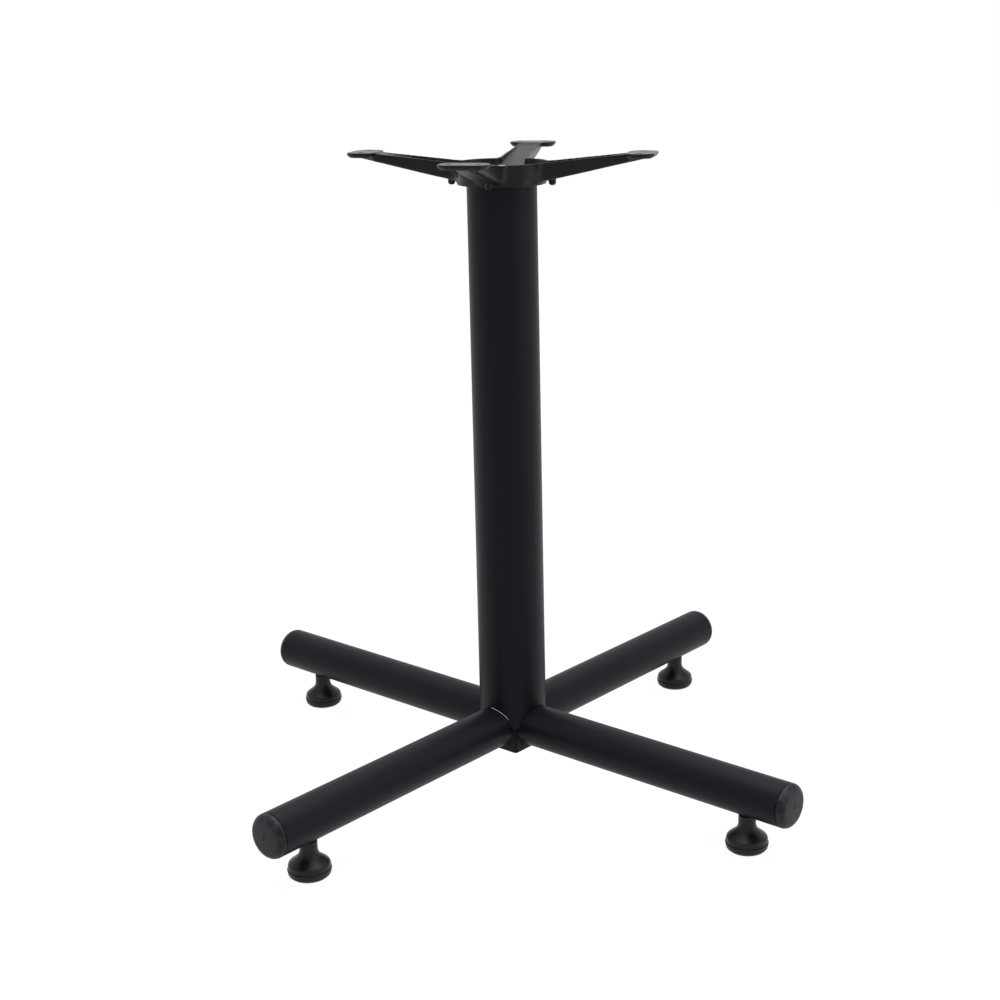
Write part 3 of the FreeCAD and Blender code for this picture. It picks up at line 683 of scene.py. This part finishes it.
class TABLE_BASE_OT_spider(bpy.types.Operator):
    """Round, roughen and paint the cast spider"""

    bl_idname = "table_base.spider"
    bl_label = "Cast spider"
    bl_options = {"REGISTER", "UNDO"}

    def execute(self, context):
        settings = context.scene.table_base_shape
        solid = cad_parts["spider"]
        rough = bpy.data.objects.new("spider_blank", solid.data.copy())
        context.scene.collection.objects.link(rough)
        remesh = rough.modifiers.new("skin", "REMESH")
        remesh.mode = "VOXEL"
        remesh.voxel_size = settings.casting_cell
        mesh = self.evaluated_mesh(rough)
        if not len(mesh.vertices):
            raise RuntimeError("the casting's skin came out empty")
        self.round_keels(mesh)
        skin = bpy.data.objects.new("spider_skin", mesh)
        context.scene.collection.objects.link(skin)
        group = skin.vertex_groups.new(name="body")
        for vertex in mesh.vertices:
            group.add([vertex.index], self.body_share(vertex.co), "REPLACE")
        for name, passes, part in (("rims", settings.casting_rounding, ""),
                                   ("fillets", settings.casting_fillets, "body")):
            smooth = skin.modifiers.new(name, "SMOOTH")
            smooth.factor = 0.5
            smooth.iterations = passes
            smooth.vertex_group = part
        thin = skin.modifiers.new("thin", "DECIMATE")
        thin.ratio = settings.casting_kept
        mesh = self.evaluated_mesh(skin)
        mesh.name = "spider_casting"
        mesh.materials.clear()
        self.make_uneven(mesh, settings.casting_unevenness)
        add_piece("spider_casting", mesh, "black_cast_iron", "black_cast_iron", FRAME_BODY,
                  "spider", sharp_angle=180)
        return {"FINISHED"}

    @staticmethod
    def evaluated_mesh(blank):
        """A blank's mesh with its modifiers applied; the blank itself is removed."""
        graph = bpy.context.evaluated_depsgraph_get()
        graph.update()
        mesh = bpy.data.meshes.new_from_object(blank.evaluated_get(graph))
        bpy.data.objects.remove(blank)
        return mesh

    @staticmethod
    def body_share(spot):
        """1 on the casting's body, down to 0 on its rims, pads, pegs and flange."""
        out, across = max(abs(spot.x), abs(spot.y)), min(abs(spot.x), abs(spot.y))
        along = min(1.0, max(0.0, (out - RIM_START) / (RIM_END - RIM_START)))
        rim = RIM_START_DROP + along * (RIM_END_DROP - RIM_START_DROP)
        depth = SPIDER_TOP - spot.z
        rim_skin, short_fade, fade, long_fade = 2.0 * MM, 2 * MM, 3 * MM, 6 * MM
        limits = [
            (depth - rim - rim_skin) / fade,
            (PAD_START - out) / long_fade,
            (FLANGE_DEPTH - depth) / short_fade,
        ]
        if depth > PEG_DEPTH:
            limits.append((math.hypot(out - PEG_STATION, across) - PEG_REACH) / fade)
        return min(1.0, max(0.0, min(limits)))

    @staticmethod
    def round_keels(mesh):
        """Fill out the bevels along the arms' lower edges, into round edges."""
        bulge, near = 2.0, 1.0 * MM
        for vertex in mesh.vertices:
            spot = vertex.co
            out, across = max(abs(spot.x), abs(spot.y)), min(abs(spot.x), abs(spot.y))
            along = (out - KEEL_START) / (KEEL_END - KEEL_START)
            depth = SPIDER_TOP - spot.z
            low = KEEL_START_DEPTH + along * (KEEL_END_DEPTH - KEEL_START_DEPTH)
            half = KEEL_START_HALF + along * (KEEL_END_HALF - KEEL_START_HALF)
            side = ARM_HALF + (KEEL_END - out) * ARM_FLARE - depth * CASTING_DRAFT
            over = low - depth - (across - half) * math.tan(KEEL_BEVEL)
            if not (KEEL_FROM < along < KEEL_TO and half < across < side and abs(over) < near):
                continue
            share = (across - half) / (side - half)
            ends = min(1.0, (along - KEEL_FROM) / KEEL_FADE_IN, (KEEL_TO - along) / KEEL_FADE_OUT)
            push = bulge * share * (1 - share) * ends * (side - half) * math.sin(KEEL_BEVEL)
            aside = push * math.sin(KEEL_BEVEL)
            if abs(spot.x) < abs(spot.y):
                spot.x += math.copysign(aside, spot.x)
            else:
                spot.y += math.copysign(aside, spot.y)
            spot.z -= push * math.cos(KEEL_BEVEL)

    @staticmethod
    def make_uneven(mesh, height):
        """Move the skin in and out in broad waves and small pits."""
        waves_per_metre, pits_per_metre = 55, 240
        normals = [v.normal.copy() for v in mesh.vertices]
        for vertex, normal in zip(mesh.vertices, normals):
            spot = vertex.co
            wave = noise.noise(spot * waves_per_metre)
            pit = noise.noise(spot * pits_per_metre + Vector((7, 3, 1)))
            vertex.co = spot + normal * (height * (0.7 * wave + 0.3 * pit) - 0.25 * height)
            vertex.co.z = min(vertex.co.z, SPIDER_TOP)


class TABLE_BASE_OT_end_caps(bpy.types.Operator):
    """Turn the four moulded end caps"""

    bl_idname = "table_base.end_caps"
    bl_label = "End caps"
    bl_options = {"REGISTER", "UNDO"}

    def execute(self, context):
        section = rounded(self.plug_corners(), 3) + self.crown_points()
        for corner in range(CORNERS):
            name = f"cap_{corner + 1}"
            place = leg_place(corner, LEG_REACH, LEG_HEIGHT) @ Matrix.Rotation(math.pi / 2, 4, "Y")
            mesh = lathe(name, section, place)
            add_piece(name, mesh, "cap_plastic", "cap_plastic", FRAME_BODY, f"end_cap_{corner + 1}")
        return {"FINISHED"}

    @staticmethod
    def plug_corners():
        """The hollow spigot with its three ribs, up to the seam at the leg's end."""
        low, shell = -22 * MM, 2.2 * MM
        bore = LEG_RADIUS - LEG_WALL
        spigot, rib = bore - 1.4 * MM, bore - 0.1 * MM
        rib_pitch, rib_rise, rib_width = 6 * MM, 0.3 * MM, 1.5 * MM
        seam_width, seam_height = 0.75 * MM, 0.55 * MM
        corners = [
            (0, low + shell, 0),
            (spigot - shell, low + shell, 0.5 * MM),
            (spigot - shell, low, 0.5 * MM),
            (spigot, low, 0.7 * MM),
        ]
        for number in range(3, 0, -1):
            back = -rib_pitch * number
            corners += [(spigot, back, 0), (rib, back + rib_rise, 0.2 * MM),
                        (rib, back + rib_width, 0.2 * MM), (spigot, back + rib_width, 0)]
        corners += [(spigot, 0.0, 0), (LEG_RADIUS - seam_width, 0.0, 0),
                    (LEG_RADIUS, seam_height, 0.3 * MM)]
        return corners

    @staticmethod
    def crown_points():
        """The round edge, the slightly crowned face and the mould gate in its middle."""
        head, edge, crown, gate = 9.0 * MM, 8.0 * MM, 0.5 * MM, 2.1 * MM
        pieces = 14
        flat, top = LEG_RADIUS - edge, head + crown
        points = []
        for step in range(pieces + 1):
            turn = math.radians(90 * step / pieces)
            points.append((flat + edge * math.cos(turn), head - edge + edge * math.sin(turn)))
        for share in (0.75, 0.5, 0.3, 0.2):
            points.append((flat * share, head + crown * (1 - share ** 2)))
        for r, fall in ((gate + 0.5 * MM, 0), (gate + 0.15 * MM, 0.05 * MM), (gate - 0.2 * MM, 0.45 * MM),
                        (gate * 0.4, 0.45 * MM), (0.5 * MM, 0.1 * MM), (0, 0.05 * MM)):
            points.append((r, top - fall))
        return points


class TABLE_BASE_OT_feet(bpy.types.Operator):
    """Turn the levelling feet, with their bells, base pads, threaded studs and bushes"""

    bl_idname = "table_base.feet"
    bl_label = "Levelling feet"
    bl_options = {"REGISTER", "UNDO"}

    def execute(self, context):
        for corner in range(CORNERS):
            number = corner + 1
            body = f"foot_{number}"
            place = leg_place(corner, FOOT_STATION)
            self.add_bell(number, body, place)
            self.add_base(number, body, place)
            mesh = threaded(f"stud_{number}", ROD_RADIUS, STUD_LOW.z, STUD_HIGH.z,
                            [(STUD_LOW.z + STUD_SOCKET, STUD_HIGH.z)], place)
            add_piece(mesh.name, mesh, "zinc_steel", "zinc_steel", body, f"foot_stud_{number}")
            coat_node(f"foot_insert_{number}", "black_powder_coat")
        return {"FINISHED"}

    def add_bell(self, number, body, place):
        """The bell and neck, with the socket that holds the stud; lengths in millimetres."""
        fall = math.radians(38)
        bell, neck, wall, brow, throat = 21.95, 9.4, 14.2, 5.0, 12.0
        low, high = 8.8, (FOOT_HEIGHT - SEAT_GAP) / MM
        mouth, socket, bottom = 5.2, 5.05, high - 17.05
        meet = wall + (bell - neck) * math.tan(fall)
        corners = [
            (0, low, 0), (bell - 0.4, low, 0), (bell + 0.3, low + 0.5, 0.3),
            (bell, wall, brow), (neck, meet, throat), (neck - 0.1, high, 0.7),
            (mouth, high, 0.3), (socket, bottom, 0), (0, bottom, 0),
        ]
        self.add_turned(f"foot_bell_{number}", corners, 9, "foot_plastic",
                        place, body, f"foot_body_{number}")

    def add_base(self, number, body, place):
        """The base pad, with a raised rim under it; lengths in millimetres."""
        corners = [
            (0, 1.0, 0), (14.0, 1.0, 0.3), (15.2, 0.0, 0.3), (19.0, 0.0, 2.4), (22.1, 2.9, 3.0),
            (23.0, 7.9, 0.45), (22.6, 8.8, 0.3), (0, 8.8, 0),
        ]
        self.add_turned(f"foot_base_{number}", corners, 6, "foot_base",
                        place, body, f"foot_pad_{number}")

    @staticmethod
    def add_turned(name, corners, pieces, finish_name, place, body, node):
        """A turned piece from corners in millimetres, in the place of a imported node."""
        section = rounded([(r * MM, z * MM, size * MM) for r, z, size in corners], pieces)
        mesh = lathe(name, section, place)
        add_piece(name, mesh, finish_name, finish_name, body, node, sharp_angle=50)


class TABLE_BASE_OT_tie_rod(bpy.types.Operator):
    """Thread the tie rod and shape its nuts and washers"""

    bl_idname = "table_base.tie_rod"
    bl_label = "Tie rod"
    bl_options = {"REGISTER", "UNDO"}

    def execute(self, context):
        threads = [(ROD_LOW.z, ROD_LOW.z + ROD_THREAD), (ROD_HIGH.z - ROD_THREAD, ROD_HIGH.z)]
        mesh = threaded("threaded_rod", ROD_RADIUS, ROD_LOW.z, ROD_HIGH.z, threads)
        add_piece(mesh.name, mesh, "zinc_steel", "zinc_steel", FRAME_BODY, "tie_rod")
        for end in ("top", "bottom"):
            low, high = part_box(f"{end}_nut")
            mesh = hexagon_nut(f"{end}_hexagon_nut", NUT_WIDTH, NUT_BORE, low.z, high.z)
            add_piece(mesh.name, mesh, "zinc_steel", "zinc_steel", FRAME_BODY, f"{end}_nut",
                      sharp_angle=24)
            low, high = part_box(f"{end}_washer")
            ring = [(WASHER_BORE, low.z, WASHER_EDGE), (WASHER_RADIUS, low.z, WASHER_EDGE),
                    (WASHER_RADIUS, high.z, WASHER_EDGE), (WASHER_BORE, high.z, WASHER_EDGE)]
            mesh = lathe(f"{end}_round_washer", rounded(ring, 3), closed=True)
            add_piece(mesh.name, mesh, "zinc_steel", "zinc_steel", FRAME_BODY, f"{end}_washer")
        return {"FINISHED"}


class TABLE_BASE_OT_studio(bpy.types.Operator):
    """Set the floor, the softboxes, the white surround and the camera"""

    bl_idname = "table_base.studio"
    bl_label = "Studio"
    bl_options = {"REGISTER", "UNDO"}

    def execute(self, context):
        settings = context.scene.table_base_studio
        context.scene.view_settings.view_transform = "Standard"
        self.add_floor()
        self.set_room(settings.room_level)
        for name, place, target, width, height in SOFTBOXES:
            self.add_softbox(name, place, target, width, height, getattr(settings, f"{name}_level"))
        self.add_camera(settings.lens)
        return {"FINISHED"}

    @staticmethod
    def seen_directly(finish):
        """1 for what the camera, a mirror or glass sees, and 0 for the light on matt surfaces."""
        path = finish.node("ShaderNodeLightPath")
        direct = path["Is Camera Ray"]
        for ray in ("Is Glossy Ray", "Is Transmission Ray"):
            direct = finish.node("ShaderNodeMath", {"operation": "MAXIMUM"}, {0: direct, 1: path[ray]})[0]
        return direct

    def add_floor(self):
        """A pale floor, white where nothing shades it, with a painted shade ring at the feet's distance;
        the camera sees a lowered foot through it.
        """
        material, finish = new_finish("studio_floor")
        away = finish.node("ShaderNodeVectorMath", {"operation": "LENGTH"}, {0: finish.place()})["Value"]
        half_away = away * 0.5
        matt = finish.node("ShaderNodeBsdfDiffuse", None, {"Color": grey(FLOOR_GREY)})[0]
        # The glow that mirrors see is dimmed in a painted shade ring at the feet's distance
        glow_with_shade_ring = finish.node("ShaderNodeEmission", None, {
            "Color": finish.steps(half_away, FLOOR_IN_MIRRORS_WITH_SHADE_RING), "Strength": self.seen_directly(finish)})[0]
        solid = finish.node("ShaderNodeAddShader", None, {0: matt, 1: glow_with_shade_ring})[0]
        # The camera sees the white room through the floor, dimmed in the same painted shade ring
        shade_ring_level = finish.steps(half_away, FLOOR_TO_CAMERA_WITH_SHADE_RING)
        dark = finish.node("ShaderNodeBsdfTransparent", None, {"Color": grey(0)})[0]
        clear = finish.node("ShaderNodeBsdfTransparent", None, {"Color": grey(1)})[0]
        tinted = finish.node("ShaderNodeMixShader", None, {0: shade_ring_level, 1: dark, 2: clear})[0]
        film = finish.node("ShaderNodeBsdfDiffuse", None, {"Color": grey(FILM_GREY)})[0]
        sheer = finish.node("ShaderNodeAddShader", None, {0: film, 1: tinted})[0]
        camera = finish.node("ShaderNodeLightPath")["Is Camera Ray"]
        both = finish.node("ShaderNodeMixShader", None, {0: camera, 1: solid, 2: sheer})[0]
        finish.node("ShaderNodeOutputMaterial", None, {"Surface": both})
        shape = bmesh.new()
        bmesh.ops.create_grid(shape, x_segments=1, y_segments=1, size=FLOOR_HALF)
        floor = bpy.data.objects.new("floor", mesh_from("floor", shape))
        floor.data.materials.append(material)
        floor.location.z = -FLOOR_DROP
        bpy.context.scene.collection.objects.link(floor)

    def set_room(self, level):
        """White to the camera and to mirrors, and dimmer as light."""
        world = bpy.data.worlds.new("studio_room")
        bpy.context.scene.world = world
        world.use_nodes = True
        finish = Finish(world.node_tree)
        strength = self.seen_directly(finish) * (1 - level) + level
        back = finish.node("ShaderNodeBackground", None, {"Color": grey(1), "Strength": strength})
        finish.node("ShaderNodeOutputWorld", None, {"Surface": back["Background"]})

    @staticmethod
    def add_softbox(name, place, target, width, height, level):
        """A rectangular lamp whose level is its brightness in a mirror."""
        lamp = bpy.data.lights.new(name, "AREA")
        lamp.shape = "RECTANGLE"
        lamp.size, lamp.size_y = width, height
        lamp.energy = level * math.pi * width * height
        holder = bpy.data.objects.new(name, lamp)
        turn = (Vector(place) - Vector(target)).to_track_quat("Z", "Y")
        holder.matrix_world = Matrix.Translation(place) @ turn.to_matrix().to_4x4()
        bpy.context.scene.collection.objects.link(holder)

    @staticmethod
    def add_camera(lens):
        """Where the photograph was taken from."""
        data = bpy.data.cameras.new("camera")
        data.sensor_width = SENSOR_WIDTH
        data.lens = lens
        data.shift_x, data.shift_y = CAMERA_SHIFT
        camera = bpy.data.objects.new("camera", data)
        right, up = Vector(CAMERA_RIGHT), Vector(CAMERA_UP)
        turn = Matrix((right, up, right.cross(up))).transposed()
        camera.matrix_world = Matrix.Translation(CAMERA_PLACE) @ turn.to_4x4()
        bpy.context.scene.collection.objects.link(camera)
        bpy.context.scene.camera = camera


class TABLE_BASE_PT_panel(bpy.types.Panel):
    """The pieces, with the sizes and colours that they take"""

    bl_label = "Table base"
    bl_idname = "TABLE_BASE_PT_panel"
    bl_space_type = "VIEW_3D"
    bl_region_type = "UI"
    bl_category = "Table base"

    def draw(self, context):
        for group in ("table_base_finish", "table_base_shape", "table_base_studio"):
            settings = getattr(context.scene, group)
            box = self.layout.box()
            for name in settings.__annotations__:
                box.prop(settings, name)
        for operator in OPERATORS:
            self.layout.operator(operator.bl_idname)


SETTINGS = {
    "table_base_finish": FinishSettings,
    "table_base_shape": ShapeSettings,
    "table_base_studio": StudioSettings,
}
OPERATORS = (
    TABLE_BASE_OT_studio,
    TABLE_BASE_OT_tubes,
    TABLE_BASE_OT_spider,
    TABLE_BASE_OT_end_caps,
    TABLE_BASE_OT_feet,
    TABLE_BASE_OT_tie_rod,
)


def register():
    for group in SETTINGS.values():
        bpy.utils.register_class(group)
    for name, group in SETTINGS.items():
        setattr(bpy.types.Scene, name, PointerProperty(type=group))
    for operator in OPERATORS:
        bpy.utils.register_class(operator)
    bpy.utils.register_class(TABLE_BASE_PT_panel)


def unregister():
    bpy.utils.unregister_class(TABLE_BASE_PT_panel)
    for operator in reversed(OPERATORS):
        bpy.utils.unregister_class(operator)
    for name in SETTINGS:
        delattr(bpy.types.Scene, name)
    for group in reversed(SETTINGS.values()):
        bpy.utils.unregister_class(group)


def main():
    register()
    bpy.ops.table_base.studio()
    bpy.ops.table_base.tubes()
    bpy.ops.table_base.spider()
    bpy.ops.table_base.end_caps()
    bpy.ops.table_base.feet()
    bpy.ops.table_base.tie_rod()


if __name__ == "__main__":
    main()
